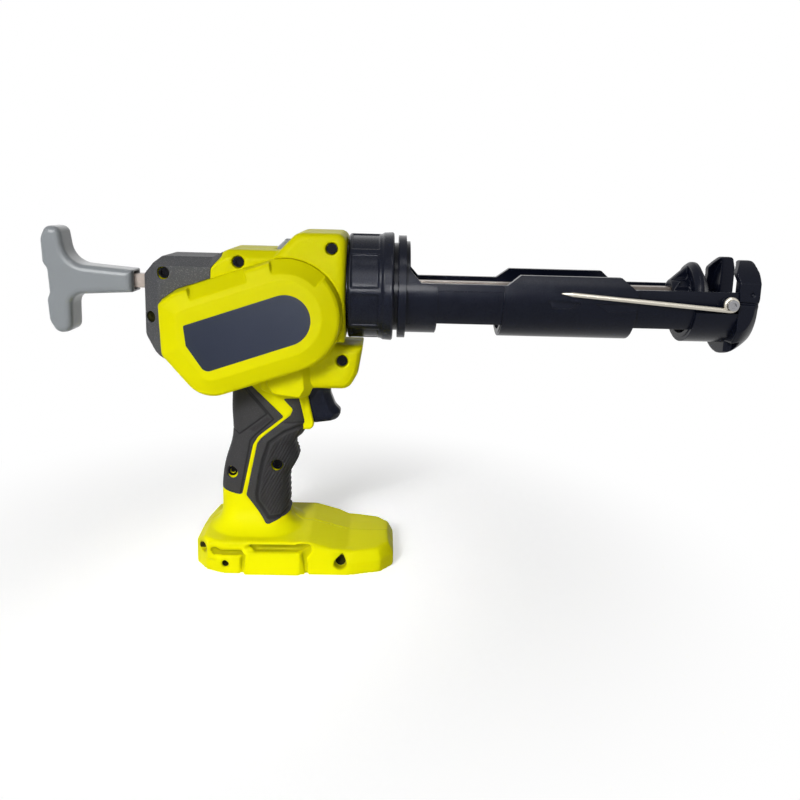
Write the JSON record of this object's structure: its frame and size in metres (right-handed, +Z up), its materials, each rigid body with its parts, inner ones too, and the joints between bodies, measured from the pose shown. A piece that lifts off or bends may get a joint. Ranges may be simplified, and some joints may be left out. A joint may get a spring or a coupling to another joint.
{
  "type": "cordless caulking tool",
  "caption": "Pistol-grip power caulking tool: motor-driven toothed plunger, rotating half-pipe cartridge cradle, open nozzle yoke and a socket base for a battery.",
  "frame": {"origin": "centre of the base's underside, on the surface that the tool stands on", "axes": "+X along the barrel towards the nozzle end, +Y to the tool's left, +Z up"},
  "size_m": [0.4642, 0.0855, 0.226],
  "materials": {
    "lime_plastic": "satin moulded lime-yellow nylon",
    "grip_rubber": "fine-textured dark grey soft overmould",
    "label_film": "dark navy film, bare of print",
    "black_plastic": "black moulded nylon with a low sheen",
    "grey_plastic": "mid grey moulded plastic",
    "dial_plastic": "mid grey moulded plastic",
    "screw_steel": "plain steel",
    "rod_steel": "drawn steel bar",
    "wire_steel": "drawn wire with a warm tone",
    "gear_steel": "cut steel, oiled",
    "plate_steel": "stamped steel",
    "bush_brass": "sintered bronze and brass",
    "bearing_aluminium": "die-cast alloy",
    "motor_steel": "drawn steel can",
    "inner_plastic": "black moulded plastic",
    "board_green": "circuit board"
  },
  "bodies": {
    "housing": {"housing_right": "lime_plastic", "housing_left": "lime_plastic", "gear_cover": "lime_plastic", "rear_overmould_right": "grip_rubber", "rear_overmould_left": "grip_rubber", "grip_rear_panel_right": "grip_rubber", "grip_rear_panel_left": "grip_rubber", "grip_front_panel_right": "grip_rubber", "grip_front_panel_left": "grip_rubber", "rating_label": "label_film", "barrel_mount": "black_plastic", "housing_screws": "screw_steel", "idler_axle": "gear_steel", "inner_gear_plate": "plate_steel", "outer_gear_plate": "plate_steel", "gear_posts": "plate_steel", "pinion_bush_inner": "bush_brass", "pinion_bush_outer": "bush_brass", "pinion_bush_left": "bush_brass", "battery_terminals": "bush_brass", "pinion_bearing_block": "bearing_aluminium", "gearbox": "bearing_aluminium", "motor_can": "motor_steel", "motor_end_bell": "inner_plastic", "rod_bush_rear": "inner_plastic", "rod_bush_front": "inner_plastic", "trigger_switch": "inner_plastic", "speed_potentiometer": "inner_plastic", "battery_socket": "inner_plastic", "terminal_block": "inner_plastic", "controller_board": "board_green"},
    "plunger": {"plunger_rod": "rod_steel", "t_handle": "grey_plastic", "t_handle_pin": "screw_steel", "piston": "black_plastic"},
    "pinion": {"pinion_shaft": "gear_steel", "final_gear": "gear_steel"},
    "idler": {"idler_gear": "gear_steel"},
    "drive_pinion": {"drive_pinion": "gear_steel"},
    "trigger": {"trigger": "black_plastic"},
    "speed_dial": {"speed_dial": "dial_plastic"},
    "collar": {"collar": "black_plastic"},
    "cradle": {"cradle": "black_plastic", "front_yoke": "black_plastic", "yoke_pins": "screw_steel", "wire_pivot_screw": "screw_steel"},
    "puncture_wire": {"puncture_wire": "wire_steel"}
  },
  "joints": [
    {"name": "plunger_slide", "type": "slide", "parent": "housing", "child": "plunger", "axis": [1, 0, 0], "range_m": [-0.206, 0]},
    {"name": "pinion_spin", "type": "hinge", "parent": "housing", "child": "pinion", "pos_m": [-0.006, 0, 0.17663], "axis": [0, 1, 0], "continuous": true},
    {"name": "idler_spin", "type": "hinge", "parent": "housing", "child": "idler", "pos_m": [-0.04382, 0, 0.1636], "axis": [0, 1, 0], "continuous": true},
    {"name": "drive_pinion_spin", "type": "hinge", "parent": "housing", "child": "drive_pinion", "pos_m": [-0.06462, 0, 0.15644], "axis": [0, 1, 0], "continuous": true},
    {"name": "trigger_pull", "type": "slide", "parent": "housing", "child": "trigger", "axis": [1, 0, 0], "range_m": [-0.007, 0], "stiffness_N_per_m": 900},
    {"name": "speed_dial_turn", "type": "hinge", "parent": "housing", "child": "speed_dial", "pos_m": [0, 0, 0.21], "axis": [1, 0, 0], "range_deg": [-135, 135]},
    {"name": "collar_turn", "type": "hinge", "parent": "housing", "child": "collar", "pos_m": [0.048, 0, 0.19], "axis": [1, 0, 0], "range_deg": [0, 60]},
    {"name": "cradle_spin", "type": "hinge", "parent": "housing", "child": "cradle", "pos_m": [0.068, 0, 0.19], "axis": [1, 0, 0], "continuous": true},
    {"name": "puncture_wire_swing", "type": "hinge", "parent": "cradle", "child": "puncture_wire", "pos_m": [0.278, -0.0333, 0.187], "axis": [0, 1, 0], "range_deg": [0, 180]}
  ],
  "couplings": [
    {"joint": "pinion_spin", "follows": "plunger_slide", "rad_per_m": 100},
    {"joint": "idler_spin", "follows": "plunger_slide", "rad_per_m": -166.67},
    {"joint": "drive_pinion_spin", "follows": "plunger_slide", "rad_per_m": 357.14}
  ]
}
